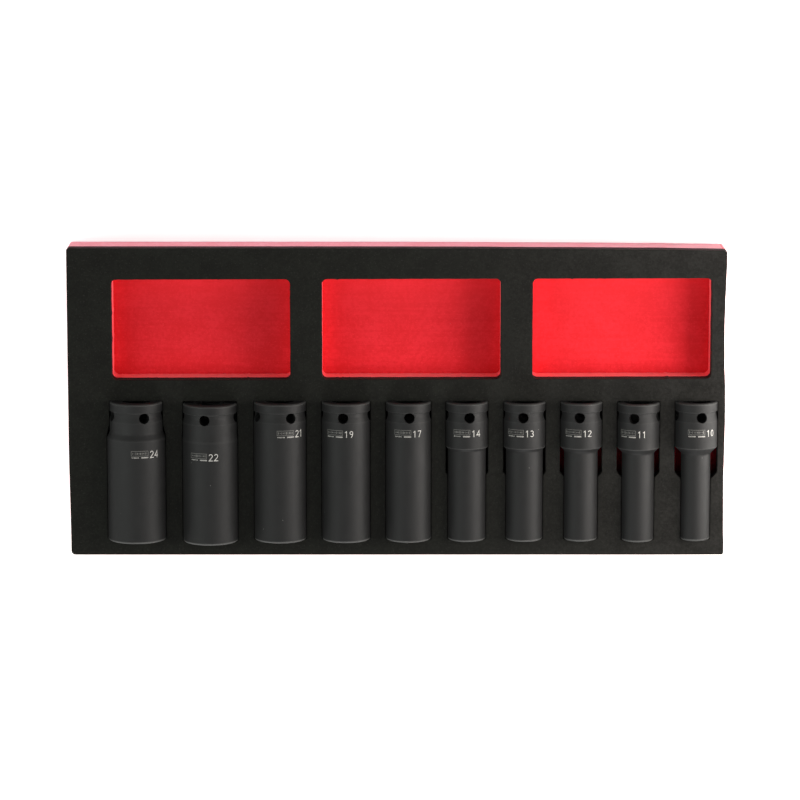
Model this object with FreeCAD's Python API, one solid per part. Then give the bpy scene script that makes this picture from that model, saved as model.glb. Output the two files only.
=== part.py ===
import FreeCAD, Part
import math
import os

# A two-colour foam inlay for a tool drawer. A black sheet is laminated on a red
# base. Three open pockets take loose tools, and ten deep impact sockets lie in
# recesses milled to their outline. Millimetres, +Z up. The origin is under the
# middle of the tray, +X runs along the row of sockets and +Y towards the pockets.

# ---- the tray ----
tray_length = 386.4
tray_width = 183.0
tray_height = 30.0
top_sheet_thickness = 9.0
tray_corner_radius = 1.5
joint_height = tray_height - top_sheet_thickness

# ---- the three pockets ----
pocket_length = 104.8
pocket_width = 59.5
pocket_depth = 22.0
pocket_corner_radius = 3.0
pocket_pitch = 123.5
middle_pocket_x = 8.6
pocket_y = 43.45

# ---- the row of sockets ----
socket_length = 82.8
axis_height = 28.0
recess_top_y = 1.05
end_gap = 0.25
side_gap = 0.5
seat_gap = 0.1
nose_gap = 0.4
recess_corner_radius = 1.0
small_recess_wide_length = 43.0
large_recess_narrow_length = 14.2
large_recess_taper_length = 6.5

# Hexagon size, distance of the axis from the tray's middle, outer diameter at the
# drive end and at the nose, roll of the socket about its own axis in degrees, and
# how far it has slid down its recess.
sockets = [
    (24, -153.3, 31.2, 34.4, 21.9, 0.0),
    (22, -109.9, 31.8, 32.6, -10.1, 1.1),
    (21, -68.7, 30.8, 30.8, 27.6, 0.0),
    (19, -29.9, 28.6, 28.6, -6.7, 0.0),
    (17, 6.9, 26.7, 26.7, 2.5, 0.0),
    (14, 41.3, 24.8, 22.4, 7.3, 0.0),
    (13, 75.2, 24.7, 21.7, -5.4, 0.0),
    (12, 108.5, 24.6, 19.8, -6.6, 0.0),
    (11, 142.2, 25.0, 19.1, -15.6, 0.5),
    (10, 176.2, 25.0, 17.3, 12.9, 0.0),
]

# ---- what every socket shares, measured from its drive end ----
rim_chamfer = 0.7
collar_length = 5.5
groove_width = 5.8
groove_depth = 0.8
groove_floor_length = 2.0
retaining_hole_diameter = 6.2
retaining_hole_count = 4
cone_start = 18.0
cone_length = 3.6
shoulder_start = 27.1
nose_chamfer = 0.8

# ---- inside of every socket ----
drive_square = 12.85
drive_square_depth = 17.0
drive_lead_in = 1.6
web_thickness = 3.0
web_hole_radius = 5.0
hexagon_clearance = 0.2
bore_to_hexagon = 0.92
nose_lead_in = 1.2


def vector(x, y, z):
    return FreeCAD.Vector(x, y, z)


def arc_corner(before, corner, after, radius):
    """The arc that rounds a corner: its start, middle and end points."""
    towards_before = (before - corner).normalize()
    towards_after = (after - corner).normalize()
    half_angle = towards_before.getAngle(towards_after) / 2
    reach = radius / math.tan(half_angle)
    start = corner + towards_before * reach
    end = corner + towards_after * reach
    bisector = (towards_before + towards_after).normalize()
    middle = corner + bisector * (radius / math.sin(half_angle) - radius)
    return start, middle, end


def rounded_face(corners, radius):
    """A flat face with straight sides whose corners are all rounded alike."""
    arcs = []
    for index, corner in enumerate(corners):
        before = corners[index - 1]
        after = corners[(index + 1) % len(corners)]
        arcs.append(arc_corner(before, corner, after, radius))
    edges = []
    for index, (start, middle, end) in enumerate(arcs):
        edges.append(Part.Arc(start, middle, end).toShape())
        next_start = arcs[(index + 1) % len(arcs)][0]
        edges.append(Part.makeLine(end, next_start))
    return Part.Face(Part.Wire(edges))


def upright_block(corners, radius, bottom, top):
    """The rounded outline, standing from one height to another."""
    face = rounded_face([vector(x, y, bottom) for x, y in corners], radius)
    return face.extrude(vector(0, 0, top - bottom))


def rectangle(middle_x, middle_y, length, width):
    half_length = length / 2
    half_width = width / 2
    return [
        (middle_x - half_length, middle_y - half_width),
        (middle_x + half_length, middle_y - half_width),
        (middle_x + half_length, middle_y + half_width),
        (middle_x - half_length, middle_y + half_width),
    ]


# ---- foam ----

def pocket_cutters():
    outline_top = tray_height + 1
    floor = tray_height - pocket_depth
    cutters = []
    for step in (-1, 0, 1):
        outline = rectangle(middle_pocket_x + step * pocket_pitch, pocket_y,
                            pocket_length, pocket_width)
        cutters.append(upright_block(outline, pocket_corner_radius, floor, outline_top))
    return cutters


def mirrored_outline(middle_x, half_widths):
    """A closed outline, given its half width at falling values of y."""
    right_side = [(middle_x + half_width, y) for half_width, y in half_widths]
    left_side = [(middle_x - half_width, y) for half_width, y in half_widths]
    return right_side + left_side[::-1]


def recess_cutters(middle_x, drive_diameter, nose_diameter, slide):
    """The stepped recess of one socket: its whole outline down to the shallower
    seat, and the part under the larger diameter down to the deeper one."""
    top = tray_height + 1
    bottom_y = recess_top_y - end_gap - slide - socket_length - nose_gap
    drive_half = drive_diameter / 2 + side_gap
    nose_half = nose_diameter / 2 + side_gap
    drive_floor = axis_height - drive_diameter / 2 - seat_gap
    nose_floor = axis_height - nose_diameter / 2 - seat_gap
    if drive_diameter == nose_diameter:
        outline = [(drive_half, recess_top_y), (drive_half, bottom_y)]
        whole = mirrored_outline(middle_x, outline)
        return [upright_block(whole, recess_corner_radius, drive_floor, top)]
    if drive_diameter > nose_diameter:
        step_start = recess_top_y - small_recess_wide_length
        step_end = step_start - (drive_half - nose_half)
        deep = [(drive_half, recess_top_y), (drive_half, step_start), (nose_half, step_end)]
    else:
        step_start = recess_top_y - large_recess_narrow_length
        step_end = step_start - large_recess_taper_length
        deep = [(drive_half, step_start), (nose_half, step_end), (nose_half, bottom_y)]
    outline = [(drive_half, recess_top_y), (drive_half, step_start),
               (nose_half, step_end), (nose_half, bottom_y)]
    shallow_floor = max(drive_floor, nose_floor)
    deep_floor = min(drive_floor, nose_floor)
    whole = mirrored_outline(middle_x, outline)
    deep_part = mirrored_outline(middle_x, deep)
    return [
        upright_block(whole, recess_corner_radius, shallow_floor, top),
        upright_block(deep_part, recess_corner_radius / 10, deep_floor, top),
    ]


def foam_layers():
    cutters = pocket_cutters()
    for size, middle_x, drive_diameter, nose_diameter, roll, slide in sockets:
        cutters += recess_cutters(middle_x, drive_diameter, nose_diameter, slide)
    outline = rectangle(0, 0, tray_length, tray_width)
    base = upright_block(outline, tray_corner_radius, 0, joint_height)
    sheet = upright_block(outline, tray_corner_radius, joint_height, tray_height)
    return base.cut(cutters), sheet.cut(cutters)


# ---- sockets, built standing on the drive end with the axis along +Z ----

def turned_body(drive_radius, nose_radius):
    """The outside, turned from one profile: rim, collar, groove, waist, nose."""
    groove_radius = drive_radius - groove_depth
    groove_end = collar_length + groove_width
    if drive_radius > nose_radius:
        waist_start = shoulder_start
        waist_end = shoulder_start + drive_radius - nose_radius
    else:
        waist_start = cone_start
        waist_end = cone_start + cone_length
    profile = [
        (0, 0),
        (drive_radius - rim_chamfer, 0),
        (drive_radius, rim_chamfer),
        (drive_radius, collar_length),
        (groove_radius, collar_length),
        (groove_radius, collar_length + groove_floor_length),
        (drive_radius, groove_end),
    ]
    if drive_radius != nose_radius:
        profile += [(drive_radius, waist_start), (nose_radius, waist_end)]
    profile += [
        (nose_radius, socket_length - nose_chamfer),
        (nose_radius - nose_chamfer, socket_length),
        (0, socket_length),
        (0, 0),
    ]
    wire = Part.makePolygon([vector(radius, 0, height) for radius, height in profile])
    return Part.Face(wire).revolve(vector(0, 0, 0), vector(0, 0, 1), 360)


def regular_prism(side_count, across_flats, bottom, height):
    """An upright prism with one flat facing +Y."""
    corner_radius = across_flats / 2 / math.cos(math.pi / side_count)
    corners = []
    for index in range(side_count + 1):
        angle = math.pi / 2 + math.pi / side_count * (2 * index + 1)
        corners.append(vector(corner_radius * math.cos(angle),
                              corner_radius * math.sin(angle), bottom))
    return Part.Face(Part.makePolygon(corners)).extrude(vector(0, 0, height))


def socket_cavities(size):
    """Square drive, web hole, bolt clearance bore and hexagon, with lead-ins."""
    hexagon = size + hexagon_clearance
    hexagon_corner_radius = hexagon / 2 / math.cos(math.pi / 6)
    hexagon_depth = 6.0 + 0.8 * size
    bore_radius = bore_to_hexagon * size / 2
    bore_start = drive_square_depth + web_thickness
    square_corner_radius = drive_square / 2 * math.sqrt(2)
    square = regular_prism(4, drive_square, -1, drive_square_depth + 1)
    square_lead_in = Part.makeCone(square_corner_radius, square_corner_radius - drive_lead_in,
                                   drive_lead_in)
    web_hole = Part.makeCylinder(min(web_hole_radius, bore_radius - 0.6), socket_length)
    bore = Part.makeCylinder(bore_radius, socket_length - bore_start, vector(0, 0, bore_start))
    hexagon_start = socket_length - hexagon_depth
    hexagon_prism = regular_prism(6, hexagon, hexagon_start, hexagon_depth + 1)
    nose_lead = Part.makeCone(hexagon_corner_radius - nose_lead_in, hexagon_corner_radius,
                              nose_lead_in, vector(0, 0, socket_length - nose_lead_in))
    return [square, square_lead_in, web_hole, bore, hexagon_prism, nose_lead]


def retaining_holes(drive_radius):
    """Cross holes in the middle of the groove, one through each flat of the square."""
    height = collar_length + groove_width / 2
    holes = []
    for index in range(retaining_hole_count):
        angle = math.radians(90) + 2 * math.pi * index / retaining_hole_count
        outwards = vector(math.cos(angle), math.sin(angle), 0)
        holes.append(Part.makeCylinder(retaining_hole_diameter / 2, drive_radius,
                                       vector(0, 0, height), outwards))
    return holes


def deep_socket(size, middle_x, drive_diameter, nose_diameter, roll, slide):
    body = turned_body(drive_diameter / 2, nose_diameter / 2)
    cutters = socket_cavities(size) + retaining_holes(drive_diameter / 2)
    socket = body.cut(cutters)
    socket.rotate(vector(0, 0, 0), vector(0, 0, 1), -roll)
    socket.rotate(vector(0, 0, 0), vector(1, 0, 0), 90)
    socket.translate(vector(middle_x, recess_top_y - end_gap - slide, axis_height))
    return socket


def main():
    os.makedirs("parts", exist_ok=True)
    base, sheet = foam_layers()
    parts = {"foam_base": base, "foam_top_sheet": sheet}
    for row in sockets:
        parts["socket_%dmm" % row[0]] = deep_socket(*row)
    for name, shape in parts.items():
        if not shape.isValid():
            raise ValueError(name + " is not a valid shape")
        shape.exportStep("parts/%s.step" % name)
        print("%-15s %d solid, %8.0f mm3" % (name, len(shape.Solids), shape.Volume))


main()
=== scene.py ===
import math

import bmesh
import bpy
import numpy as np
from mathutils import Matrix, Vector, noise
from mathutils.geometry import delaunay_2d_cdt


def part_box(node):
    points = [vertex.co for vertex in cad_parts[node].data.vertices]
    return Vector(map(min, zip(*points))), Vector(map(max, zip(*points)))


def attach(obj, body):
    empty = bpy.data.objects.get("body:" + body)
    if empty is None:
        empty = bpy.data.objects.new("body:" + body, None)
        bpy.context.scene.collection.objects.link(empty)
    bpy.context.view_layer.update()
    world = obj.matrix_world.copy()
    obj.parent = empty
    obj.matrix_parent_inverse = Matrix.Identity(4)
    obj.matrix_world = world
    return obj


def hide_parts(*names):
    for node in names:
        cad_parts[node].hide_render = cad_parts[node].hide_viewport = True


# A laminated foam inlay for a tool drawer with ten deep impact sockets.
# Metres, +Z up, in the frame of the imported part.

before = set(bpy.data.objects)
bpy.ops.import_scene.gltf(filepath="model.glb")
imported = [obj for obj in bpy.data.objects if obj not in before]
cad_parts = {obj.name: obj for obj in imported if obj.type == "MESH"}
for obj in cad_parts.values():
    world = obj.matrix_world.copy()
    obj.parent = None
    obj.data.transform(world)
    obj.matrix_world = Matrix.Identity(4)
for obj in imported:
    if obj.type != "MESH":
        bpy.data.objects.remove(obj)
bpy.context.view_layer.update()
mm = 0.001


# helpers

def linear(hexColour):
    channels = [int(hexColour[start:start + 2], 16) / 255 for start in (0, 2, 4)]
    return [c / 12.92 if c <= 0.04045 else ((c + 0.055) / 1.055) ** 2.4 for c in channels] + [1.0]


def addNode(tree, kind, links=None, **settings):
    # Inputs go by name or number, and each gets a value, a socket, or a node that stands
    # for its first output. A Map Range has value, from least, from most, to least, to most.
    node = tree.nodes.new(kind)
    for name, value in settings.items():
        setattr(node, name, value)
    for key, source in (links or {}).items():
        if isinstance(source, bpy.types.Node):
            source = source.outputs[0]
        if isinstance(source, bpy.types.NodeSocket):
            tree.links.new(source, node.inputs[key])
        else:
            node.inputs[key].default_value = source
    return node


def startMaterial(name):
    # an empty material, its tree, and the place on the piece in metres
    material = bpy.data.materials.new(name)
    material.use_nodes = True
    tree = material.node_tree
    tree.nodes.clear()
    return material, tree, addNode(tree, "ShaderNodeTexCoord").outputs["Object"]


def startNodes(name, inputs):
    # a Geometry Nodes tree with named inputs, and the sockets that carry them
    tree = bpy.data.node_groups.new(name, "GeometryNodeTree")
    tree.interface.new_socket("Geometry", in_out="INPUT", socket_type="NodeSocketGeometry")
    for label, kind in inputs.items():
        tree.interface.new_socket(label, in_out="INPUT", socket_type="NodeSocket" + kind)
    tree.interface.new_socket("Geometry", in_out="OUTPUT", socket_type="NodeSocketGeometry")
    return tree, addNode(tree, "NodeGroupInput").outputs


def endNodes(tree, geometry, material):
    whole = addNode(tree, "GeometryNodeRealizeInstances", {"Geometry": geometry})
    painted = addNode(tree, "GeometryNodeSetMaterial", {"Geometry": whole, "Material": material})
    addNode(tree, "NodeGroupOutput", {0: painted})
    return tree


def showObject(name, data):
    made = bpy.data.objects.new(name, data)
    bpy.context.scene.collection.objects.link(made)
    return made


def evaluatedMesh(carrier):
    # what the modifiers make of an object, as a plain mesh
    evaluated = carrier.evaluated_get(bpy.context.evaluated_depsgraph_get())
    return bpy.data.meshes.new_from_object(evaluated)


def plainMesh(mesh, name):
    # the bmesh is gone afterwards
    made = bpy.data.meshes.new(name)
    mesh.to_mesh(made)
    mesh.free()
    return made


def meshFromNodes(tree, source, values):
    # the tree's result as a plain mesh; the modifier is gone afterwards
    carrier = showObject("carrier", source)
    modifier = carrier.modifiers.new(tree.name, "NODES")
    modifier.node_group = tree
    for item in tree.interface.items_tree:
        if item.in_out == "INPUT" and item.name in values:
            modifier[item.identifier] = values[item.name]
    made = evaluatedMesh(carrier)
    carrier.modifiers.remove(modifier)
    bpy.data.objects.remove(carrier)
    return made


def addPiece(name, mesh, materials, body):
    mesh.name = name
    for material in materials:
        mesh.materials.append(material)
    piece = showObject(name, mesh)
    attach(piece, body)
    return piece


# materials

foamLook = {
    "cell": 0.9 * mm,      # real cells are 0.2 to 0.4 mm; drawn coarser so that they show
    "mottle": 14 * mm,     # density changes through the bun
    "streak": 1.5 * mm,    # marks that loose tools have rubbed along the pocket floors
    "paintedRightLightShade": "272524",      # painted light on black skin, painted shade on red saw cut, more to the right
    "paintedRightLightShadeFrom": -30 * mm,
    "paintedRightLightShadeTo": 190 * mm,
    # painted shade in a band: the line across the inlay that it keeps away from, how far from that line it
    # starts and is full, how strong it is, and its colour
    "noShadeBand": (0.0, 0.0, 1.0, 0.0, "000000"),
    # painted shade on the pocket floors, darker away from a line across them
    "floorShadeBand": (14 * mm, 28 * mm, 60 * mm, 0.5, "A0141E"),
    # painted shade in the socket recesses, lighter only near the shoulders
    "recessShadeBand": (-31 * mm, 3 * mm, 15 * mm, 1.0, "150304"),
    # each cut: colours of deep, pale and torn cells, gloss, sheen, depth of the cells,
    # strength of the streaks and of the painted light and shade towards the right,
    # and the band of painted shade
    "cuts": {
        "red polyethylene foam, routed":
            ("D41822", "DE222E", "E62C37", 0.3, 0.12, 0.06 * mm, 0.25, 0.0, "floorShadeBand"),
        # the cells stand open and look paler on milled walls, and part of that paleness is painted light
        "red polyethylene foam, milled wall":
            ("FA4955", "FF5C67", "FF5C67", 0.3, 0.12, 0.10 * mm, 0.0, 0.0, "noShadeBand"),
        # and paler yet on the sawn sides, also partly painted light, with painted shade towards the right
        # end
        "red polyethylene foam, saw cut":
            ("F77A8D", "FF97AB", "FF97AB", 0.3, 0.25, 0.10 * mm, 0.0, 0.5, "noShadeBand"),
        # painted shade in the socket recesses: dark red towards the right end, red only near the
        # shoulders, and almost black further left
        "red polyethylene foam, painted recess shade":
            ("B0182A", "CC2034", "D41822", 0.3, 0.0, 0.10 * mm, 0.0, 0.0, "recessShadeBand"),
        "red polyethylene foam, painted black recess shade":
            ("150304", "1E0607", "1E0607", 0.3, 0.0, 0.10 * mm, 0.0, 0.0, "noShadeBand"),
        "black polyethylene foam, skived":
            ("0E0E0B", "141511", "22221F", 0.14, 0.02, 0.20 * mm, 0.0, 0.66, "noShadeBand"),
        # red dust has lodged in the cells
        "black polyethylene foam, saw cut":
            ("291315", "381A1C", "381A1C", 0.06, 0.0, 0.20 * mm, 0.0, 0.0, "noShadeBand"),
    },
}


def routedFoam(name, deep, pale, fleck, gloss, sheen, cellDepth, streaks, paintedRightLightShade, shadeBand):
    # Cross-linked polyethylene foam, sawn and routed. The cut cells scatter light,
    # so the face is dull and never quite even, and single torn cells catch the light.
    material, tree, place = startMaterial(name)
    cells = addNode(tree, "ShaderNodeTexVoronoi", {"Vector": place, "Scale": 1 / foamLook["cell"]})
    grain = addNode(tree, "ShaderNodeTexNoise",
                    {"Vector": place, "Scale": 0.5 / foamLook["cell"], "Detail": 2.0})
    mottle = addNode(tree, "ShaderNodeTexNoise",
                     {"Vector": place, "Scale": 1 / foamLook["mottle"], "Detail": 4.0, "Roughness": 0.6})
    stretched = addNode(tree, "ShaderNodeMapping", {"Vector": place, "Scale": (0.04, 1.0, 1.0)})
    rubbed = addNode(tree, "ShaderNodeTexNoise",
                     {"Vector": stretched, "Scale": 1 / foamLook["streak"], "Detail": 2.0})
    streaked = addNode(tree, "ShaderNodeMapRange",
                       {0: rubbed, 1: 0.3, 2: 0.7, 3: 1.0 - streaks, 4: 1.0 + streaks})
    uneven = addNode(tree, "ShaderNodeMath", {0: streaked, 1: mottle}, operation="MULTIPLY")
    speckle = addNode(tree, "ShaderNodeMath", {0: grain, 1: uneven}, operation="MULTIPLY")
    shade = addNode(tree, "ShaderNodeMapRange", {0: speckle, 1: 0.15, 2: 0.36})
    body = addNode(tree, "ShaderNodeMix", {0: shade, 6: linear(deep), 7: linear(pale)}, data_type="RGBA")
    torn = addNode(tree, "ShaderNodeTexNoise",
                   {"Vector": place, "Scale": 1 / foamLook["cell"], "Detail": 1.0})
    tornShare = addNode(tree, "ShaderNodeMapRange", {0: torn, 1: 0.62, 2: 0.80})
    colour = addNode(tree, "ShaderNodeMix",
                     {0: tornShare, 6: body.outputs[2], 7: linear(fleck)}, data_type="RGBA")
    split = addNode(tree, "ShaderNodeSeparateXYZ", {0: place})
    # painted light and shade towards the right end: lighter on the black skin, darker on the red saw cut
    right = addNode(tree, "ShaderNodeMapRange",
                    {0: split.outputs[0], 1: foamLook["paintedRightLightShadeFrom"], 2: foamLook["paintedRightLightShadeTo"], 4: paintedRightLightShade})
    rightPaintMottle = addNode(tree, "ShaderNodeMath", {0: right, 1: shade, 2: 0.3}, operation="MULTIPLY_ADD")
    rightPaintShare = addNode(tree, "ShaderNodeMath", {0: rightPaintMottle, 1: right}, operation="MULTIPLY")
    rightPainted = addNode(tree, "ShaderNodeMix",
                    {0: rightPaintShare, 6: colour.outputs[2], 7: linear(foamLook["paintedRightLightShade"])}, data_type="RGBA")
    # a band of painted shade that keeps off a line across the inlay
    line, starts, full, strength, shadeBandColour = foamLook[shadeBand]
    offLine = addNode(tree, "ShaderNodeMath", {0: split.outputs[1], 1: line}, operation="SUBTRACT")
    away = addNode(tree, "ShaderNodeMath", {0: offLine}, operation="ABSOLUTE")
    shadeBandShare = addNode(tree, "ShaderNodeMapRange", {0: away, 1: starts, 2: full, 4: strength})
    bandShaded = addNode(tree, "ShaderNodeMix",
                     {0: shadeBandShare, 6: rightPainted.outputs[2], 7: linear(shadeBandColour)}, data_type="RGBA")
    relief = addNode(tree, "ShaderNodeBump", {"Height": cells, "Strength": 0.35, "Distance": cellDepth})
    skin = addNode(tree, "ShaderNodeBsdfPrincipled",
                   {"Base Color": bandShaded.outputs[2], "Roughness": 0.82, "Specular IOR Level": gloss,
                    "Sheen Weight": sheen, "Sheen Roughness": 0.35, "Normal": relief})
    addNode(tree, "ShaderNodeOutputMaterial", {"Surface": skin})
    return material


steelLook = {
    "grain": 0.35 * mm,    # phosphate crystals are 0.01 mm; drawn coarser so that they show
    "cloud": 9 * mm,       # patches of oil and handling
    "blemish": 6 * mm,     # spacing of chips and pits
    "blemishRadius": 0.035,    # in their spacing
    "chips": 0.20,             # share of the blemishes that show bright steel
    "pits": 0.30,              # and share that are black
    "etchGrain": 0.4 * mm,     # size of the specks that stay dark in a mark
    "dark": "161616",
    "light": "1D1D1D",
    # bright steel of chips and worn edges; on the turned edges also a painted highlight
    "wornAndGlint": "6E6E6C",
    "pit": "050505",
}


def phosphatedSteel():
    # Chrome vanadium steel, manganese phosphated and oiled: a charcoal, fine-grained,
    # half matt coat that wears to bright steel on the turned edges and where it is chipped;
    # the bright turned edges also carry a painted highlight.
    material, tree, place = startMaterial("manganese phosphated steel")
    crystals = addNode(tree, "ShaderNodeTexNoise",
                       {"Vector": place, "Scale": 1 / steelLook["grain"], "Detail": 3.0})
    cloud = addNode(tree, "ShaderNodeTexNoise",
                    {"Vector": place, "Scale": 1 / steelLook["cloud"], "Detail": 5.0, "Roughness": 0.65})
    coat = addNode(tree, "ShaderNodeMix",
                   {0: cloud, 6: linear(steelLook["dark"]), 7: linear(steelLook["light"])},
                   data_type="RGBA")
    # the bright turned edges: wear, and partly a painted highlight
    edge = addNode(tree, "ShaderNodeAttribute", attribute_name="wearAndGlint")
    patchy = addNode(tree, "ShaderNodeMapRange", {0: crystals, 1: 0.35, 2: 0.7, 3: 0.11, 4: 0.45})
    wearAndGlint = addNode(tree, "ShaderNodeMath", {0: edge.outputs["Fac"], 1: patchy}, operation="MULTIPLY")
    blemish = addNode(tree, "ShaderNodeTexVoronoi", {"Vector": place, "Scale": 1 / steelLook["blemish"]})
    spot = addNode(tree, "ShaderNodeMath",
                   {0: blemish, 1: steelLook["blemishRadius"]}, operation="LESS_THAN")
    chance = addNode(tree, "ShaderNodeSeparateColor", {0: blemish.outputs["Color"]})
    chip = addNode(tree, "ShaderNodeMath",
                   {0: chance.outputs[0], 1: 1 - steelLook["chips"]}, operation="GREATER_THAN")
    chipped = addNode(tree, "ShaderNodeMath", {0: spot, 1: chip}, operation="MULTIPLY")
    bare = addNode(tree, "ShaderNodeMath", {0: wearAndGlint, 1: chipped}, operation="MAXIMUM")
    colour = addNode(tree, "ShaderNodeMix",
                     {0: bare, 6: coat.outputs[2], 7: linear(steelLook["wornAndGlint"])}, data_type="RGBA")
    pit = addNode(tree, "ShaderNodeMath",
                  {0: chance.outputs[0], 1: steelLook["pits"]}, operation="LESS_THAN")
    pitted = addNode(tree, "ShaderNodeMath", {0: spot, 1: pit}, operation="MULTIPLY")
    withPits = addNode(tree, "ShaderNodeMix",
                       {0: pitted, 6: colour.outputs[2], 7: linear(steelLook["pit"])}, data_type="RGBA")
    gloss = addNode(tree, "ShaderNodeMapRange", {0: cloud, 1: 0.3, 2: 0.7, 3: 0.52, 4: 0.62})
    relief = addNode(tree, "ShaderNodeBump", {"Height": crystals, "Strength": 0.12, "Distance": 0.05 * mm})
    skin = addNode(tree, "ShaderNodeBsdfPrincipled",
                   {"Base Color": withPits.outputs[2], "Specular IOR Level": 0.22, "Roughness": gloss,
                    "Normal": relief})
    addNode(tree, "ShaderNodeOutputMaterial", {"Surface": skin})
    return material


etchLook = {    # colours where the beam has bitten strongly and faintly
    "laser etch on phosphate": ("C8C6C1", "8E8C88"),
    "light laser etch on phosphate": ("B8B6B1", "86847F"),
    "weaker laser etch on phosphate": ("A2A09C", "72706C"),
    "faint laser etch on phosphate": ("706F6B", "545350"),
}


def laserEtch(name, strong, faint):
    # Fibre laser marking on phosphate: it burns the coat off to dull pale grey oxide,
    # a little broken up where the coat stays.
    material, tree, place = startMaterial(name)
    broken = addNode(tree, "ShaderNodeTexNoise",
                     {"Vector": place, "Scale": 1 / steelLook["etchGrain"], "Detail": 2.0})
    colour = addNode(tree, "ShaderNodeMix",
                     {0: broken, 6: linear(faint), 7: linear(strong)}, data_type="RGBA")
    skin = addNode(tree, "ShaderNodeBsdfPrincipled", {"Base Color": colour.outputs[2], "Roughness": 0.6})
    addNode(tree, "ShaderNodeOutputMaterial", {"Surface": skin})
    return material


redFoam, milledFoam, sawnFoam, recessShadeFoam, blackRecessShadeFoam, blackFoam, blackEdge = [
    routedFoam(name, *look) for name, look in foamLook["cuts"].items()]
blackSteel = phosphatedSteel()
etches = [laserEtch(name, *look) for name, look in etchLook.items()]
print("materials:", len(bpy.data.materials))


# the foam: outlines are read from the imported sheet, then walls are raised from them

foamTray = {
    "step": 1.0 * mm,          # spacing of the points along a cut edge
    "skinGrid": 4 * mm,        # and of the loose points in the skin
    "hiddenGrid": 12 * mm,     # and in the faces that nobody sees
    "arris": 0.30 * mm,        # how far a cut edge has softened
    # its outline from the wall up: inset, and depth below the face, in that measure
    "softening": ((0, 1.5), (0, 1.0), (0.10, 0.5), (0.40, 0.15), (1.0, 0), (1.5, 0)),
    "foot": ((0.5 * mm, 0), (0.1 * mm, 0.15 * mm), (0, 0.5 * mm)),    # inset and height
    "ragged": 0.10 * mm,       # waviness of the cut, long wave
    "raggedLength": 6 * mm,
    "fuzz": 0.05 * mm,         # and short wave
    "fuzzLength": 1.3 * mm,
    "calm": 0.4,               # share of that waviness on the outer sides
    "burr": 0.7 * mm,          # frayed cells that stand out here and there from the pockets' edges
    "burrLength": 1.7 * mm,
    "frayedLength": 18 * mm,   # of the stretches that are frayed
    "swell": 0.25 * mm,        # unevenness of the skin and of the pocket floors
    "swellLength": 22 * mm,
    "lip": 0.40 * mm,          # the sheet springs back towards the sockets
    "joint": 21 * mm,          # height of the lamination
    "floor": 8 * mm,           # height of the pocket floors
    "rowEnd": 5 * mm,          # the recesses lie in front of this line, the pockets behind it
    "askew": 0.0024,           # turn of the row of pockets, in radians
    "lighterShadeFrom": 97 * mm,      # from here on the painted recess shade is lighter and shows red at the shoulders
    "passWidth": 2.5 * mm,     # step-over of the end mill on the pocket floors
    "ridge": 0.14 * mm,        # cusp that it leaves between two passes
    "patch": 16 * mm,          # spacing of the places where the cusps stand higher
    "sharpAngle": 40,          # edges bent by more degrees stay sharp
    # how far the block falls short at a place along its sides
    "rightSag": ((-0.085, 0), (-0.075, 0.3 * mm), (-0.046, 0.55 * mm), (-0.028, 0.25 * mm),
                 (-0.010, 0), (0.007, 0.15 * mm), (0.025, 0.8 * mm), (0.042, 1.0 * mm),
                 (0.060, 0.75 * mm), (0.069, 0.35 * mm), (0.083, 0)),
    "backSag": ((-0.027, 0.1 * mm), (0.031, 0.2 * mm), (0.090, 0.5 * mm), (0.149, 0.8 * mm),
                (0.178, 1.25 * mm), (0.190, 1.45 * mm)),
    "leftSag": ((-0.090, 0.8 * mm), (-0.020, 0.05 * mm), (0.030, 0), (0.084, 0)),
    "backSagFrom": 70 * mm,    # where the sag of the back begins to draw the sides in
    "backSagSpan": 21 * mm,
    "knocked": 2.7 * mm,       # radius to which the front left corner has been knocked
}


def between(table, at):
    # smooth interpolation in a short table
    if at <= table[0][0]:
        return table[0][1]
    for (a, low), (b, high) in zip(table, table[1:]):
        if at <= b:
            t = (at - a) / (b - a)
            return low + (high - low) * t * t * (3 - 2 * t)
    return table[-1][1]


def flatOutlines(name, height):
    # closed outlines of a node's level face, each with the foam on its left
    mesh = bmesh.new()
    mesh.from_mesh(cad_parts[name].data)
    bmesh.ops.remove_doubles(mesh, verts=mesh.verts, dist=1e-6)
    level = [face for face in mesh.faces
             if face.normal.z > 0.99 and abs(face.calc_center_median().z - height) < 1e-5]
    known = set(level)
    after = {}
    for face in level:    # a list, so that each outline starts at the same point every time
        for loop in face.loops:
            if sum(other in known for other in loop.edge.link_faces) == 1:
                after[loop.vert] = loop.link_loop_next.vert
    outlines = []
    while after:
        vert, following = after.popitem()
        outline = [vert.co.to_2d()]
        while following in after:
            outline.append(following.co.to_2d())
            following = after.pop(following)
        outlines.append(outline)
    mesh.free()
    return sorted(outlines, key=lambda points: -abs(area(points)))


def area(outline):
    return sum(a.cross(b) for a, b in zip(outline, outline[1:] + outline[:1])) / 2


def resampled(outline, step):
    # points no further apart than step; short chords are the rounded corners, and bulge
    count = len(outline)
    ahead = [outline[(i + 1) % count] - outline[i] for i in range(count)]
    turn = [ahead[i - 1].angle_signed(ahead[i]) for i in range(count)]
    points = []
    for i in range(count):
        pieces = max(1, math.ceil(ahead[i].length / step))
        bend = (abs(turn[i]) + abs(turn[(i + 1) % count])) / 2
        bulge = 0.0
        if ahead[i].length < 3 * mm and bend < 0.8 and turn[i] * turn[(i + 1) % count] > 0:
            bulge = ahead[i].length / 2 * math.tan(bend / 4) * math.copysign(1, turn[i])
        side = Vector((-ahead[i].y, ahead[i].x)).normalized()
        for k in range(pieces):
            t = k / pieces
            points.append(outline[i] + ahead[i] * t + side * (bulge * 4 * t * (1 - t)))
    return points


def outwardOf(outline):
    # unit vectors from the foam into the air
    count = len(outline)
    normals = []
    for i in range(count):
        along = outline[(i + 1) % count] - outline[i - 1]
        normals.append(Vector((along.y, -along.x)).normalized())
    return normals


def wavy(point, seed, length):
    # smooth noise along a cut, between -1 and 1
    return noise.noise(Vector((point.x, point.y, seed)) / length)


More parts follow.
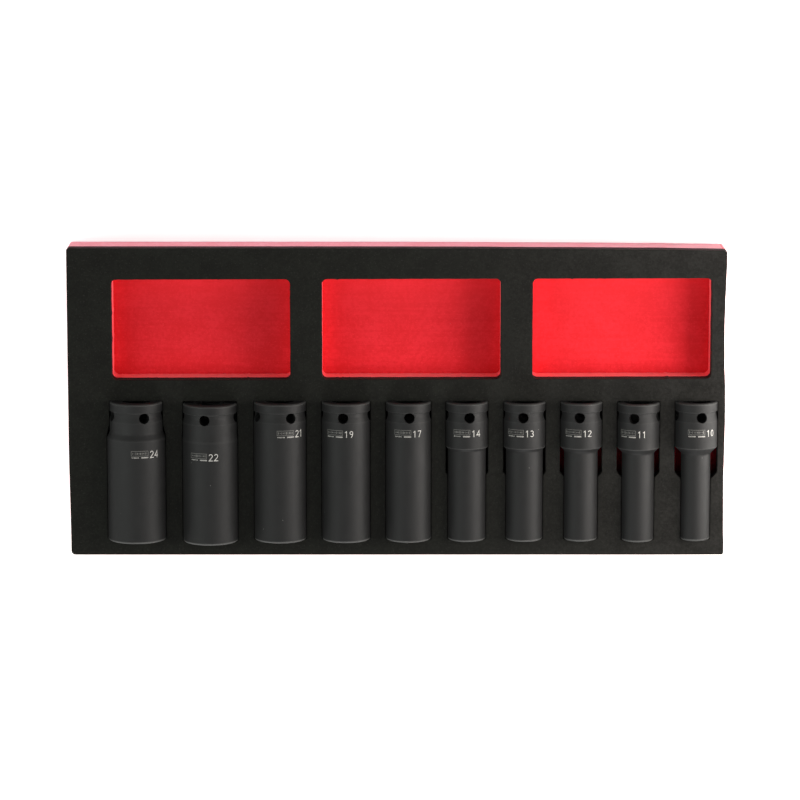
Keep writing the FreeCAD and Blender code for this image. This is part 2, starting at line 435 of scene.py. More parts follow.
def handCut(outline, kind):
    # the waviness that the knife and the years give an outline
    cut = []
    for point, out in zip(outline, outwardOf(outline)):
        if kind == "pocket":
            point = point + Vector((0.0, foamTray["askew"] * point.x))
            frayed = wavy(point, 0.9, foamTray["frayedLength"]) > 0.12
            burr = max(0.0, wavy(point, 0.6, foamTray["burrLength"]) - 0.15)
            point = point + out * foamTray["burr"] * burr * frayed
        wave = foamTray["ragged"] * wavy(point, 0.0, foamTray["raggedLength"])
        wave += foamTray["fuzz"] * wavy(point, 0.3, foamTray["fuzzLength"])
        if kind == "recess":
            wave += foamTray["lip"]
        if kind == "outer":
            wave = foamTray["calm"] * (wave - foamTray["ragged"] - foamTray["fuzz"])
            table = foamTray["rightSag"] if point.x > 0 else foamTray["leftSag"]
            wave -= between(table, point.y) * out.x * out.x
            share = min(max((point.y - foamTray["backSagFrom"]) / foamTray["backSagSpan"], 0), 1)
            point = point - Vector((0.0, share * between(foamTray["backSag"], point.x)))
        cut.append(point + out * wave)
    if kind == "outer":
        radius = foamTray["knocked"]
        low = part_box("foam_top_sheet")[0]
        centre = Vector((low.x + foamTray["leftSag"][0][1] + radius, low.y + radius))
        for i, point in enumerate(cut):
            reach = point - centre
            if reach.x < 0 and reach.y < 0 and reach.length > radius:
                cut[i] = centre + reach.normalized() * radius
    return cut


def addWall(mesh, outline, heights):
    # a wall from rings; each ring lies at a height and is drawn back into the foam
    normals = outwardOf(outline)
    rings = []
    for inset, z in heights:
        rings.append([mesh.verts.new((p.x - n.x * inset, p.y - n.y * inset, z))
                      for p, n in zip(outline, normals)])
    for low, high in zip(rings, rings[1:]):
        for i in range(len(low)):
            j = (i + 1) % len(low)
            mesh.faces.new((low[i], low[j], high[j], high[i]))
    return rings


def ringEdges(mesh, ring):
    edges = []
    for a, b in zip(ring, ring[1:] + ring[:1]):
        edges.append(mesh.edges.get((a, b)) or mesh.edges.new((a, b)))
    return edges


def insideOf(points, starts, ends):
    # which points lie within the closed outlines, holes left out
    x, y = points[:, 0:1], points[:, 1:2]
    crosses = (starts[:, 1] > y) != (ends[:, 1] > y)
    rise = np.where(ends[:, 1] == starts[:, 1], 1.0, ends[:, 1] - starts[:, 1])
    at = starts[:, 0] + (y - starts[:, 1]) * (ends[:, 0] - starts[:, 0]) / rise
    return (crosses & (x < at)).sum(axis=1) % 2 == 1


def fillLevel(mesh, edges, up, spacing):
    # a level face between outlines, with loose points inside it; returns those
    verts = list({vert: None for edge in edges for vert in edge.verts})
    number = {vert: i for i, vert in enumerate(verts)}
    pairs = [(number[edge.verts[0]], number[edge.verts[1]]) for edge in edges]
    rim = np.array([vert.co.to_2d() for vert in verts])
    starts, ends = rim[[a for a, b in pairs]], rim[[b for a, b in pairs]]
    low, high = rim.min(axis=0), rim.max(axis=0)
    columns, rows = ((high - low) / spacing).astype(int)
    grid = np.array([(low[0] + (i + 0.5 + 0.25 * (j % 2)) * spacing, low[1] + (j + 0.5) * spacing)
                     for i in range(columns) for j in range(rows)])
    grid = grid[insideOf(grid, starts, ends)]
    far = [np.hypot(*(rim - point).T).min() > 0.6 * spacing for point in grid]
    grid = grid[np.array(far)]
    points = [Vector(point) for point in np.vstack((rim, grid))]
    spots, _, triangles, origin, _, _ = delaunay_2d_cdt(points, pairs, [], 1, 1e-8)
    level = verts[0].co.z
    made = [verts[min(old)] if old and min(old) < len(verts)
            else mesh.verts.new((spot.x, spot.y, level)) for spot, old in zip(spots, origin)]
    flat = np.array([tuple(spot) for spot in spots])
    middles = flat[np.array([list(t) for t in triangles])].mean(axis=1)
    for triangle, wanted in zip(triangles, insideOf(middles, starts, ends)):
        if wanted:
            mesh.faces.new([made[i] for i in (triangle if up > 0 else reversed(triangle))])
    known = set(verts)
    return [vert for vert in made if vert not in known]


def finished(mesh, name, sharpAngle):
    bmesh.ops.recalc_face_normals(mesh, faces=mesh.faces)
    for face in mesh.faces:
        face.smooth = True
    for edge in mesh.edges:
        edge.smooth = edge.calc_face_angle(0.0) < math.radians(sharpAngle)
    return plainMesh(mesh, name)


allOutlines = flatOutlines("foam_top_sheet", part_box("foam_top_sheet")[1].z)
outlines = {"outer": [], "pocket": [], "recess": []}
for found in allOutlines:
    middleY = sum(point.y for point in found) / len(found)
    kind = "pocket" if middleY > foamTray["rowEnd"] else "recess"
    if found is allOutlines[0]:
        kind = "outer"
    even = resampled(found, foamTray["step"])
    outlines[kind].append(handCut(even, kind))
print("outlines:", {kind: len(found) for kind, found in outlines.items()})


def fillRings(mesh, rings, up, spacing, more=()):
    edges = list(more)
    for ring in rings:
        edges += ringEdges(mesh, ring)
    return fillLevel(mesh, edges, up, spacing)


def topSheet():
    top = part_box("foam_top_sheet")[1].z
    arris = foamTray["arris"]
    heights = [(0, foamTray["joint"])]
    heights += [(inset * arris, top - down * arris) for inset, down in foamTray["softening"]]
    mesh = bmesh.new()
    upper, lower = [], []
    for outline in outlines["outer"] + outlines["pocket"] + outlines["recess"]:
        rings = addWall(mesh, outline, heights)
        lower.append(rings[0])
        upper.append(rings[-1])
        if outline is outlines["outer"][0]:
            edge = {vert for ring in rings for vert in ring}
    for vert in fillRings(mesh, upper, 1, foamTray["skinGrid"]):
        swell = wavy(vert.co, 0.7, foamTray["swellLength"])    # the skin is never quite level
        vert.co.z -= foamTray["swell"] * (0.5 + 0.5 * swell)
    for face in mesh.faces:
        if face.calc_center_median().z < top - 1.4 * arris and all(v in edge for v in face.verts):
            face.material_index = 1
    fillRings(mesh, lower, -1, foamTray["hiddenGrid"])
    return finished(mesh, "foamTopSheet", foamTray["sharpAngle"])


def millingPasses():
    # concentric passes of an end mill: the outline is drawn in towards the middle line,
    # ring by ring, low in the middle of a pass and high where two passes meet
    tree, given = startNodes("millingPasses", {
        "Rings": "Int", "Ridge height": "Float", "Middle": "Vector", "Half size": "Vector",
        "Unevenness": "Float", "Material": "Material"})
    count = addNode(tree, "GeometryNodeAttributeDomainSize", {0: given["Geometry"]})
    columns = addNode(tree, "ShaderNodeMath", {0: count.outputs["Point Count"], 1: 1.0}, operation="ADD")
    grid = addNode(tree, "GeometryNodeMeshGrid", {"Vertices X": columns, "Vertices Y": given["Rings"]})
    index = addNode(tree, "GeometryNodeInputIndex")
    share = addNode(tree, "ShaderNodeMath", {0: index, 1: given["Rings"]}, operation="DIVIDE")
    column = addNode(tree, "ShaderNodeMath", {0: share}, operation="FLOOR")
    wrapped = addNode(tree, "ShaderNodeMath",
                      {0: column, 1: count.outputs["Point Count"]}, operation="MODULO")
    ring = addNode(tree, "ShaderNodeMath", {0: index, 1: given["Rings"]}, operation="MODULO")
    lastRing = addNode(tree, "ShaderNodeMath", {0: given["Rings"], 1: 1.0}, operation="SUBTRACT")
    part = addNode(tree, "ShaderNodeMath", {0: ring, 1: lastRing}, operation="DIVIDE")
    place = addNode(tree, "GeometryNodeInputPosition")
    start = addNode(tree, "GeometryNodeSampleIndex",
                    {"Geometry": given["Geometry"], "Value": place, "Index": wrapped},
                    data_type="FLOAT_VECTOR")
    reach = addNode(tree, "ShaderNodeVectorMath", {0: start, 1: given["Middle"]}, operation="SUBTRACT")
    halves = addNode(tree, "ShaderNodeSeparateXYZ", {0: given["Half size"]})
    inset = addNode(tree, "ShaderNodeMath", {0: part, 1: halves.outputs[1]}, operation="MULTIPLY")
    shrinkX = addNode(tree, "ShaderNodeMath", {0: inset, 1: halves.outputs[0]}, operation="DIVIDE")
    keepX = addNode(tree, "ShaderNodeMath", {0: 1.0, 1: shrinkX}, operation="SUBTRACT")
    keepY = addNode(tree, "ShaderNodeMath", {0: 1.0, 1: part}, operation="SUBTRACT")
    keep = addNode(tree, "ShaderNodeCombineXYZ", {0: keepX, 1: keepY, 2: 1.0})
    drawnIn = addNode(tree, "ShaderNodeVectorMath", {0: reach, 1: keep}, operation="MULTIPLY")
    level = addNode(tree, "ShaderNodeVectorMath", {0: given["Middle"], 1: drawnIn}, operation="ADD")
    odd = addNode(tree, "ShaderNodeMath", {0: ring, 1: 2.0}, operation="MODULO")
    patch = addNode(tree, "ShaderNodeTexNoise",
                    {"Vector": level, "Scale": 1 / foamTray["patch"], "Detail": 2.0})
    patchy = addNode(tree, "ShaderNodeMapRange", {0: patch, 1: 0.35, 2: 0.65, 3: 0.35, 4: 1.0})
    cusp = addNode(tree, "ShaderNodeMath", {0: odd, 1: given["Ridge height"]}, operation="MULTIPLY")
    ridge = addNode(tree, "ShaderNodeMath", {0: cusp, 1: patchy}, operation="MULTIPLY")
    inner = addNode(tree, "ShaderNodeMath", {0: part, 1: 0.001}, operation="GREATER_THAN")
    swell = addNode(tree, "ShaderNodeMath", {0: patch, 1: given["Unevenness"]}, operation="MULTIPLY")
    swellInside = addNode(tree, "ShaderNodeMath", {0: swell, 1: inner}, operation="MULTIPLY")
    height = addNode(tree, "ShaderNodeMath", {0: ridge, 1: swellInside}, operation="ADD")
    lift = addNode(tree, "ShaderNodeCombineXYZ", {2: height})
    final = addNode(tree, "ShaderNodeVectorMath", {0: level, 1: lift}, operation="ADD")
    moved = addNode(tree, "GeometryNodeSetPosition", {"Geometry": grid, "Position": final})
    closed = addNode(tree, "GeometryNodeMergeByDistance", {"Geometry": moved, "Distance": 0.005 * mm})
    return endNodes(tree, closed, given["Material"])


def pocketFloor(tree, outline):
    z = foamTray["floor"]
    low = Vector((min(p.x for p in outline), min(p.y for p in outline), z))
    high = Vector((max(p.x for p in outline), max(p.y for p in outline), z))
    half = (high - low) / 2
    source = bpy.data.meshes.new("outline")
    source.from_pydata([(p.x, p.y, z) for p in outline], [], [])
    passes = round(half.y / foamTray["passWidth"])
    return meshFromNodes(tree, source, {
        "Rings": 2 * passes + 1, "Ridge height": foamTray["ridge"],
        "Middle": (low + high) / 2, "Half size": Vector((half.x, half.y, 1.0)),
        "Unevenness": foamTray["swell"], "Material": redFoam})


def inRecess(middle, low, high, margin):
    # whether a spot in the block is a recess's: in front of the pockets, off the sides, and
    # between the underside and the joint
    fromSide = min(middle.x - low.x, high.x - middle.x, middle.y - low.y)
    within = mm <= middle.z <= foamTray["joint"] - 0.01 * mm
    return within and fromSide >= margin and middle.y <= foamTray["rowEnd"]


def recessFaces(mesh):
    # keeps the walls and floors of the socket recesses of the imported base; returns the rims
    mesh.from_mesh(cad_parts["foam_base"].data)
    bmesh.ops.remove_doubles(mesh, verts=mesh.verts, dist=1e-6)
    low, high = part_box("foam_base")
    unwanted = [face for face in mesh.faces
                if not inRecess(face.calc_center_median(), low, high, 0.5 * mm)]
    bmesh.ops.delete(mesh, geom=unwanted, context="FACES")
    return [edge for edge in mesh.edges
            if all(abs(vert.co.z - foamTray["joint"]) < 1e-5 for vert in edge.verts)]


def base():
    joint = foamTray["joint"]
    mesh = bmesh.new()
    rims = recessFaces(mesh)
    outer = addWall(mesh, outlines["outer"][0], [*foamTray["foot"], (0, joint)])
    upper = [outer[-1]]
    for outline in outlines["pocket"]:
        upper.append(addWall(mesh, outline, [(0, foamTray["floor"]), (0, joint)])[-1])
    fillRings(mesh, upper, 1, foamTray["hiddenGrid"], rims)
    fillRings(mesh, outer[:1], -1, foamTray["hiddenGrid"])
    tree = millingPasses()
    for outline in outlines["pocket"]:
        mesh.from_mesh(pocketFloor(tree, outline))
    bmesh.ops.remove_doubles(mesh, verts=mesh.verts, dist=0.002 * mm)
    mesh.normal_update()
    low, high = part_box("foam_base")
    for face in mesh.faces:
        middle = face.calc_center_median()
        if inRecess(middle, low, high, 1.5 * mm):
            # recess faces carry painted shade: dark red towards the right end, almost black further left
            face.material_index = 3 if middle.x > foamTray["lighterShadeFrom"] else 4
        elif abs(face.normal.z) < 0.5:
            outside = min(middle.x - low.x, high.x - middle.x,
                          middle.y - low.y, high.y - middle.y) < 1.5 * mm
            face.material_index = 2 if outside else 1
        else:
            face.material_index = 0
    return finished(mesh, "foamBase", foamTray["sharpAngle"])


trayPieces = [addPiece("foamTopSheet", topSheet(), [blackFoam, blackEdge], "tray"),
              addPiece("foamBase", base(), [redFoam, milledFoam, sawnFoam, recessShadeFoam, blackRecessShadeFoam], "tray")]
for piece, node, slot in zip(trayPieces, ("foam_top_sheet", "foam_base"), ("black_foam", "red_foam")):
    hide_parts(node)
print("foam:", [len(piece.data.polygons) for piece in trayPieces], "faces")


# the sockets: one turned outline each, then the square, the hexagon and the cross holes

deepSocket = {
    "length": 82.8 * mm,
    "segments": 96,
    "rimChamfer": 0.7 * mm,
    "collar": 5.5 * mm,
    "groove": (5.8 * mm, 0.8 * mm),       # width and depth; it runs out towards the body
    "coneStart": 18.0 * mm,
    "cone": 3.6 * mm,
    "shoulder": 27.1 * mm,
    "noseChamfer": 0.8 * mm,
    "square": 12.85 * mm,
    "squareDepth": 17.0 * mm,
    "driveLeadIn": 1.6 * mm,
    "web": 3.0 * mm,
    "webHole": 5.0 * mm,                  # radius, less where the bore is narrow
    "hexClearance": 0.2,                  # in mm, as the hexagon's size
    "hexDepth": (6, 0.8),                 # in mm, and what its size adds
    "boreShare": 0.92,                    # of the hexagon's size
    "noseLeadIn": 1.2 * mm,
    "crossHole": 6.2 * mm,
    "edge": 0.25 * mm,                    # softness of the turned edges
    "hold": 0.3 * mm,                     # beside it, keeps the shading of plain faces level
    "sharpAngle": 32,
    # hexagon in mm: drive end and nose diameters in mm, roll and turn of the mark in degrees
    "range": {24: (31.2, 34.4, 21.9, 18.5), 22: (31.8, 32.6, -10.1, 19.6),
              21: (30.8, 30.8, 27.6, 20.3), 19: (28.6, 28.6, -6.7, 14.7),
              17: (26.7, 26.7, 2.5, 20.1), 14: (24.8, 22.4, 7.3, 17.9),
              13: (24.7, 21.7, -5.4, 18.7), 12: (24.6, 19.8, -6.6, 22.4),
              11: (25.0, 19.1, -15.6, 22.9), 10: (25.0, 17.3, 12.9, 25.4)},
}


def softened(corners):
    # a closed profile whose corners are rounded; each point carries its wear and painted highlight
    points = []
    for i, (radius, along, soft, wearAndGlint) in enumerate(corners):
        corner = Vector((radius, along))
        before = Vector(corners[i - 1][:2]) - corner
        after = Vector(corners[(i + 1) % len(corners)][:2]) - corner
        if soft == 0:
            points.append((corner, 0.0))
            continue
        reach = min(soft, 0.4 * before.length, 0.4 * after.length)
        hold = min(reach, deepSocket["hold"])
        first = corner + before.normalized() * reach
        last = corner + after.normalized() * reach
        if before.length > 2 * reach + 3 * hold:
            points.append((first + before.normalized() * hold, 0.0))
        for step in range(4):
            t = step / 3
            points.append((first * (1 - t) ** 2 + corner * 2 * t * (1 - t) + last * t * t, wearAndGlint))
        if after.length > 2 * reach + 3 * hold:
            points.append((last + after.normalized() * hold, 0.0))
    return points


def hexCornerOf(hexagon):
    return (hexagon + deepSocket["hexClearance"]) * mm / 2 / math.cos(math.pi / 6)


def socketProfile(hexagon, driveRadius, noseRadius):
    s = deepSocket
    length, soft = s["length"], s["edge"]
    grooveEnd = s["collar"] + s["groove"][0]
    grooveRadius = driveRadius - s["groove"][1]
    squareCorner = s["square"] / 2 * math.sqrt(2)
    hexCorner = hexCornerOf(hexagon)
    bore = s["boreShare"] * hexagon * mm / 2
    web = min(s["webHole"], bore - 0.6 * mm)
    webEnd = s["squareDepth"] + s["web"]
    square, nose = s["driveLeadIn"], s["noseLeadIn"]
    # the last number of each corner is its bright edge: wear, and painted highlight where rims catch the
    # light
    corners = [(driveRadius - s["rimChamfer"], 0, soft, 0.4),
               (driveRadius, s["rimChamfer"], soft, 0.6),
               (driveRadius, s["collar"], soft, 0.25),
               (grooveRadius, s["collar"] + 0.2 * mm, 0.1 * mm, 0.0),
               (grooveRadius, s["collar"] + 0.35 * s["groove"][0], 1.2 * mm, 0.0),
               (driveRadius, grooveEnd, 0.15 * mm, 0.15)]
    if driveRadius > noseRadius:
        corners += [(driveRadius, s["shoulder"], soft, 0.5),
                    (noseRadius, s["shoulder"] + driveRadius - noseRadius, 0.8 * mm, 0.0)]
    elif driveRadius < noseRadius:
        corners += [(driveRadius, s["coneStart"], 0.8 * mm, 0.0),
                    (noseRadius, s["coneStart"] + s["cone"], 0.5 * mm, 0.1)]
    corners += [(noseRadius, length - s["noseChamfer"], soft, 1.0),
                (noseRadius - s["noseChamfer"], length, soft, 1.0),
                (hexCorner, length, soft, 0.5), (hexCorner - nose, length - nose, 0, 0),
                (bore, length - nose, 0, 0), (bore, webEnd, 0, 0), (web, webEnd, 0, 0),
                (web, square, 0, 0), (squareCorner - square, square, 0, 0),
                (squareCorner, 0, soft, 0.3)]
    return softened(corners)


def turned(profile, segments):
    mesh = bmesh.new()
    rings = []
    for k in range(segments):
        angle = 2 * math.pi * k / segments
        rings.append([mesh.verts.new((p.x * math.cos(angle), p.x * math.sin(angle), p.y))
                      for p, wearAndGlint in profile])
    for k, ring in enumerate(rings):
        following = rings[(k + 1) % segments]
        for i in range(len(ring)):
            j = (i + 1) % len(ring)
            mesh.faces.new((ring[i], following[i], following[j], ring[j]))
    bmesh.ops.recalc_face_normals(mesh, faces=mesh.faces)
    return mesh


def cutter(sides, radius, low, high, turn=0.0, matrix=None):
    # an upright prism with its first corner turned by half a side
    mesh = bmesh.new()
    bmesh.ops.create_cone(mesh, cap_ends=True, segments=sides, radius1=radius, radius2=radius,
                          depth=high - low)
    bmesh.ops.rotate(mesh, verts=mesh.verts, matrix=Matrix.Rotation(turn, 3, "Z"))
    bmesh.ops.translate(mesh, verts=mesh.verts, vec=(0, 0, (low + high) / 2))
    if matrix:
        bmesh.ops.transform(mesh, verts=mesh.verts, matrix=matrix)
    return plainMesh(mesh, "cutter")


def cutBy(mesh, cutters):
    # the mesh with every cutter taken away
    body = showObject("body", mesh)
    tools = [showObject("tool", made) for made in cutters]
    for tool in tools:
        modifier = body.modifiers.new("cut", "BOOLEAN")
        modifier.object = tool
        modifier.solver = "EXACT"
    made = evaluatedMesh(body)
    for each in [body] + tools:
        bpy.data.objects.remove(each)
    return made


def socketMesh(hexagon, driveRadius, noseRadius):
    s = deepSocket
    length = s["length"]
    profile = socketProfile(hexagon, driveRadius, noseRadius)
    plain = plainMesh(turned(profile, s["segments"]), "turned")
    hexDepth = s["hexDepth"][0] + s["hexDepth"][1] * hexagon
    cutters = [
        cutter(4, s["square"] / math.sqrt(2), -mm, s["squareDepth"], math.pi / 4),
        cutter(6, hexCornerOf(hexagon), length - hexDepth * mm, length + mm, math.pi / 6),
    ]
    middle = s["collar"] + s["groove"][0] / 2
    for axis in ("X", "Y"):
        across = Matrix.Translation((0, 0, middle)) @ Matrix.Rotation(math.pi / 2, 4, axis)
        cutters.append(cutter(48, s["crossHole"] / 2, -0.03, 0.03, matrix=across))
    made = cutBy(plain, cutters)
    wornAndGlint = [(point, wearAndGlint) for point, wearAndGlint in profile if wearAndGlint]
    attribute = made.attributes.new("wearAndGlint", "FLOAT", "POINT")
    for vert, value in zip(made.vertices, attribute.data):
        spot = Vector((vert.co.to_2d().length, vert.co.z))
        value.value = max([wearAndGlint for point, wearAndGlint in wornAndGlint if (spot - point).length < 0.03 * mm],
                          default=0.0)
    return made


def placed(made, matrix, name):
    mesh = bmesh.new()
    mesh.from_mesh(made)
    bmesh.ops.transform(mesh, verts=mesh.verts, matrix=matrix)
    return finished(mesh, name, deepSocket["sharpAngle"])


# the marks: the size in plain digits and a block of ticks, burnt on the barrel

laserMark = {
    "height": {24: 4.4 * mm, 22: 4.4 * mm, 21: 4.4 * mm},    # of the digits
    "usualHeight": 4.0 * mm,
    "stroke": 0.095,           # thickness and spacing of the digits, in their height
    "advance": 0.72,
    "digitWidth": 0.60,
    "lift": 0.03 * mm,         # keeps the burnt skin clear of the coat
    "fromDrive": {24: 29.5 * mm, 22: 30.1 * mm},   # middle of the mark along the barrel
    "usual": 17.7 * mm,
    "block": 10.3 * mm,        # length of the block of ticks before the digits
    "gap": 1.1 * mm,
    # start within the block, number, pitch, width and height of the ticks, height of
    # their middle, how much they vary, and how strongly they are burnt in
    "tickRows": ((0.1, 23, 0.44, 0.45, 0.20, 2.20, 0.0, 3),      # frame, upper line
                 (0.1, 23, 0.44, 0.45, 0.20, -0.55, 0.0, 3),     # frame, lower line
                 (0.0, 2, 10.1, 0.20, 2.90, 0.82, 0.0, 3),       # frame, ends
                 (0.8, 10, 0.92, 0.42, 1.50, 0.82, 0.6, 3),      # within the frame
                 (0.4, 7, 0.64, 0.36, 0.75, -1.65, 0.4, 1),
                 (6.1, 6, 0.71, 0.66, 0.85, -1.65, 0.2, 2)),
}

# Strokes of the digits in a cell one unit high, its middle at height 0: points, or
# ("arc", middle x, middle y, radius x, radius y, first and last angle in degrees).
strokes = {
    "0": (("arc", 0.29, 0, 0.22, 0.43, 0, 360),),
    "1": ((0.07, 0.24), (0.30, 0.43), (0.30, -0.50)),
    "2": (("arc", 0.28, 0.20, 0.22, 0.23, 165, -35), (0.05, -0.43), (0.56, -0.43)),
    "3": (("arc", 0.26, 0.21, 0.20, 0.22, 150, -80), ("arc", 0.26, -0.22, 0.24, 0.21, 80, -150)),
    "4": ((0.44, -0.50), (0.44, 0.43), (0.04, -0.21), (0.60, -0.21)),
    "7": ((0.03, 0.43), (0.53, 0.43), (0.21, -0.50)),
    "9": (("arc", 0.29, 0.20, 0.22, 0.23, 0, 360), (0.47, -0.15), (0.27, -0.50)),
}


def tickRow():
    # ticks side by side round a barrel whose axis runs along Y
    tree, given = startNodes("tickRow", {
        "Count": "Int", "Pitch": "Float", "Width": "Float", "Height": "Float",
        "Radius": "Float", "First angle": "Float", "Axis": "Vector", "Seed": "Int",
        "Least stretch": "Vector", "Most stretch": "Vector",
        "Material": "Material"})
    row = addNode(tree, "GeometryNodeMeshLine", {"Count": given["Count"]})
    index = addNode(tree, "GeometryNodeInputIndex")
    arc = addNode(tree, "ShaderNodeMath", {0: given["Pitch"], 1: given["Radius"]}, operation="DIVIDE")
    angle = addNode(tree, "ShaderNodeMath",
                    {0: index, 1: arc, 2: given["First angle"]}, operation="MULTIPLY_ADD")
    sine = addNode(tree, "ShaderNodeMath", {0: angle}, operation="SINE")
    cosine = addNode(tree, "ShaderNodeMath", {0: angle}, operation="COSINE")
    direction = addNode(tree, "ShaderNodeCombineXYZ", {0: sine, 2: cosine})
    reach = addNode(tree, "ShaderNodeVectorMath",
                    {0: direction, "Scale": given["Radius"]}, operation="SCALE")
    place = addNode(tree, "ShaderNodeVectorMath", {0: reach, 1: given["Axis"]}, operation="ADD")
    moved = addNode(tree, "GeometryNodeSetPosition", {"Geometry": row, "Position": place})
    tick = addNode(tree, "GeometryNodeMeshGrid",
                   {"Size X": given["Width"], "Size Y": given["Height"], "Vertices X": 2, "Vertices Y": 2})
    lean = addNode(tree, "ShaderNodeCombineXYZ", {1: angle})
    stretch = addNode(tree, "FunctionNodeRandomValue",
                      {0: given["Least stretch"], 1: given["Most stretch"], "Seed": given["Seed"]},
                      data_type="FLOAT_VECTOR")
    ticks = addNode(tree, "GeometryNodeInstanceOnPoints",
                    {"Points": moved, "Instance": tick, "Rotation": lean, "Scale": stretch})
    return endNodes(tree, ticks, given["Material"])


def strokePoints(parts):
    # the points of one stroke, close enough to bend round a barrel
    points = []
    for part in parts:
        if part[0] != "arc":
            points.append(Vector(part))
            continue
        _, x, y, across, up, first, last = part
        count = max(4, round(abs(last - first) / 18))
        for k in range(count + 1):
            angle = math.radians(first + (last - first) * k / count)
            points.append(Vector((x + across * math.cos(angle), y + up * math.sin(angle))))
    dense = [points[0]]
    for a, b in zip(points, points[1:]):
        pieces = max(1, math.ceil(abs(b.x - a.x) / 0.12))
        dense += [a + (b - a) * k / pieces for k in range(1, pieces + 1)]
    return dense


def digits(text, height):
    # the size as flat ribbons, middle left at the origin, and its width
    mesh = bmesh.new()
    half = laserMark["stroke"] / 2
    for place, digit in enumerate(text):
        points = strokePoints(strokes[digit])
        ahead = [(b - a).normalized() for a, b in zip(points, points[1:]) if b != a]
        rails = []
        for k, point in enumerate(points):
            back, on = ahead[max(k - 1, 0)], ahead[min(k, len(ahead) - 1)]
            along = (back + on).normalized()
            reach = half / max(0.45, along.dot(on))
            side = Vector((-along.y, along.x)) * reach
            rails.append([mesh.verts.new(((spot.x + place * laserMark["advance"]) * height,
                                          spot.y * height, 0))
                          for spot in (point + side, point - side)])
        for (a, b), (c, d) in zip(rails, rails[1:]):
            mesh.faces.new((a, b, d, c))
    return mesh, (laserMark["digitWidth"] + laserMark["advance"] * (len(text) - 1)) * height


def markMesh(tree, hexagon, axis, driveEnd, radius, turn):
    m = laserMark
    out = radius + m["lift"]
    along = m["fromDrive"].get(hexagon, m["usual"])
    mesh, width = digits(str(hexagon), m["height"].get(hexagon, m["usualHeight"]))
    middle = math.radians(turn)
    for vert in mesh.verts:
        angle = middle + (vert.co.x - width / 2) / out
        vert.co = (axis.x + out * math.sin(angle), driveEnd - along + vert.co.y,
                   axis.z + out * math.cos(angle))
    blockStart = middle - (width / 2 + m["gap"] + m["block"]) / out
    for index, (start, count, pitch, wide, high, up, varies, burn) in enumerate(m["tickRows"]):
        ticks = meshFromNodes(tree, bpy.data.meshes.new("empty"), {
            "Count": count, "Pitch": pitch * mm, "Width": wide * mm, "Height": high * mm,
            "Radius": out, "First angle": blockStart + (start + wide / 2) * mm / out,
            "Axis": Vector((axis.x, driveEnd - along + up * mm, axis.z)),
            "Seed": hexagon + 40 * index, "Least stretch": Vector((1 - varies, 1 - varies, 1)),
            "Most stretch": Vector((1 + varies / 2, 1, 1)), "Material": etches[burn]})
        before = len(mesh.faces)
        mesh.from_mesh(ticks)
        mesh.faces.ensure_lookup_table()
        for face in mesh.faces[before:]:
            face.material_index = burn
    mesh.normal_update()
    for face in mesh.faces:
        if face.normal.z < 0:
            face.normal_flip()
    return plainMesh(mesh, "mark")


tickTree = tickRow()
for hexagon, (driveDiameter, noseDiameter, roll, markTurn) in deepSocket["range"].items():
    low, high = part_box("socket_%dmm" % hexagon)
    axis = (low + high) / 2
    driveRadius, noseRadius = driveDiameter / 2 * mm, noseDiameter / 2 * mm
    stand = (Matrix.Translation((axis.x, high.y, axis.z)) @ Matrix.Rotation(math.pi / 2, 4, "X")
             @ Matrix.Rotation(math.radians(-roll), 4, "Z"))
    mesh = placed(socketMesh(hexagon, driveRadius, noseRadius), stand, "socket%d" % hexagon)
    piece = addPiece("socket%d" % hexagon, mesh, [blackSteel], "socket_%d" % hexagon)
    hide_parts("socket_%dmm" % hexagon)
    radius = noseRadius if hexagon in laserMark["fromDrive"] else driveRadius
    mark = markMesh(tickTree, hexagon, axis, high.y, radius, roll + markTurn)
    addPiece("mark%d" % hexagon, mark, etches, "socket_%d" % hexagon)


# the studio

studio = {
    "floor": ("F0F0EE", "F2F2F0"),
    "floorSide": 6.0,
    "glow": 0.5,
    "world": 0.2,
    "lights": {
        # place, width and length of the box, power in watts, colour
        "rightLow": ((0.50, 0.0, 0.13), (0.24, 0.7), 5.5, "FFFAF5"),
        "rightNear": ((0.42, 0.0, 0.25), (0.25, 0.7), 1.5, "FFFAF5"),
        "leftSoftbox": ((-0.80, 0.0, 0.75), (0.5, 0.8), 4.4, "FAFFFA"),
        "leftNear": ((-0.45, 0.0, 0.30), (0.25, 0.7), 0.4, "FAFFFA"),
        "backSoftbox": ((0.0, 1.0, 0.50), (1.0, 0.4), 1.0, "FFFFFF"),
        "frontSoftbox": ((0.0, -1.0, 0.50), (1.0, 0.4), 8.6, "FFFFFF"),
    },
    "aim": Vector((1.93, 1.48, 30.0)) * mm,
    "tilt": 9.84,              # degrees from straight down, towards +Y
    "distance": 2.4,
    "pixelsPerMetre": 1702.0,  # at the aim
    "imageWidth": 800,
}


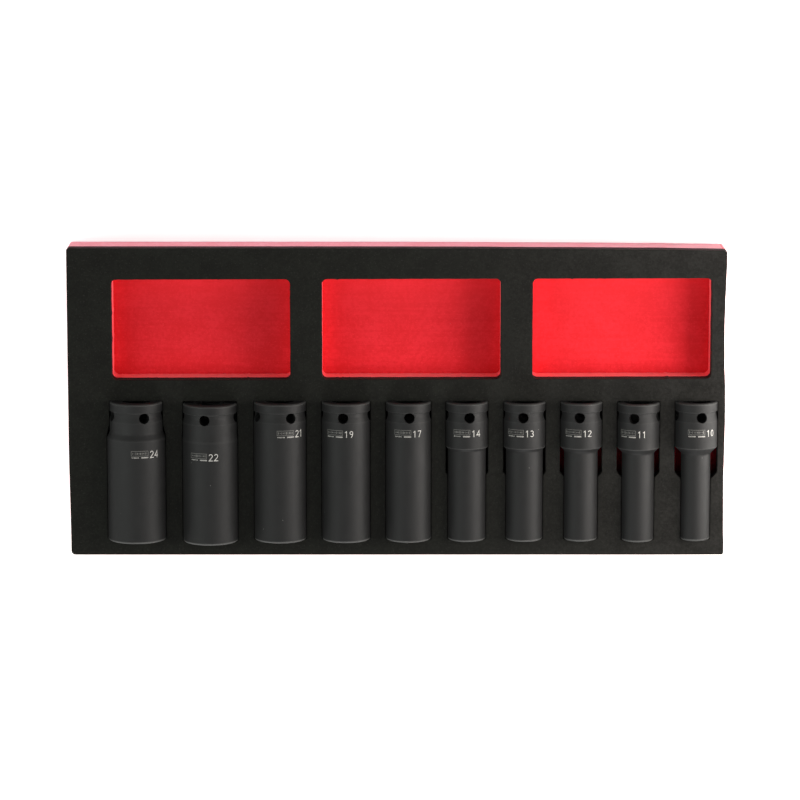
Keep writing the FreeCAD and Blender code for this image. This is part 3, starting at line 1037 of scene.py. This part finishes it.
def lightTable():
    # Opal acrylic light table with a matt face, lit from below: even and almost white.
    material, tree, place = startMaterial("matt opal acrylic light table")
    fibre = addNode(tree, "ShaderNodeTexNoise", {"Vector": place, "Scale": 1 / (3 * mm)})
    tone = addNode(tree, "ShaderNodeMix",
                   {0: fibre, 6: linear(studio["floor"][0]), 7: linear(studio["floor"][1])},
                   data_type="RGBA")
    skin = addNode(tree, "ShaderNodeBsdfPrincipled",
                   {"Base Color": tone.outputs[2], "Roughness": 0.9, "Specular IOR Level": 0.1,
                    "Emission Color": linear("FFFFFF"), "Emission Strength": studio["glow"]})
    addNode(tree, "ShaderNodeOutputMaterial", {"Surface": skin})
    return material


def buildStudio():
    half = studio["floorSide"] / 2
    mesh = bpy.data.meshes.new("floor")
    mesh.from_pydata([(-half, -half, 0), (half, -half, 0), (half, half, 0), (-half, half, 0)],
                     [], [(0, 1, 2, 3)])
    mesh.materials.append(lightTable())
    floor = showObject("floor", mesh)
    for name, (place, box, power, colour) in studio["lights"].items():
        lamp = bpy.data.lights.new(name, "AREA")
        lamp.shape = "RECTANGLE"
        lamp.size, lamp.size_y = box
        lamp.energy = power
        lamp.color = linear(colour)[:3]
        holder = showObject(name, lamp)
        holder.location = place
        holder.rotation_euler = (-Vector(place)).to_track_quat("-Z", "Y").to_euler()
        holder.visible_camera = False
    world = bpy.data.worlds.new("studio air")
    world.use_nodes = True
    sky = world.node_tree.nodes["Background"].inputs
    sky["Strength"].default_value = studio["world"]
    sky["Color"].default_value = (1, 1, 1, 1)
    bpy.context.scene.world = world
    bpy.context.scene.view_settings.view_transform = "Standard"


def buildCamera():
    tilt = math.radians(studio["tilt"])
    lens = bpy.data.cameras.new("camera")
    lens.sensor_width = 36.0
    lens.lens = studio["pixelsPerMetre"] * studio["distance"] / studio["imageWidth"] * lens.sensor_width
    camera = showObject("camera", lens)
    camera.location = (studio["aim"]
                       + Vector((0, math.sin(tilt), math.cos(tilt))) * studio["distance"])
    camera.rotation_euler = (-tilt, 0, 0)
    bpy.context.scene.camera = camera


buildStudio()
buildCamera()
print("studio ready")
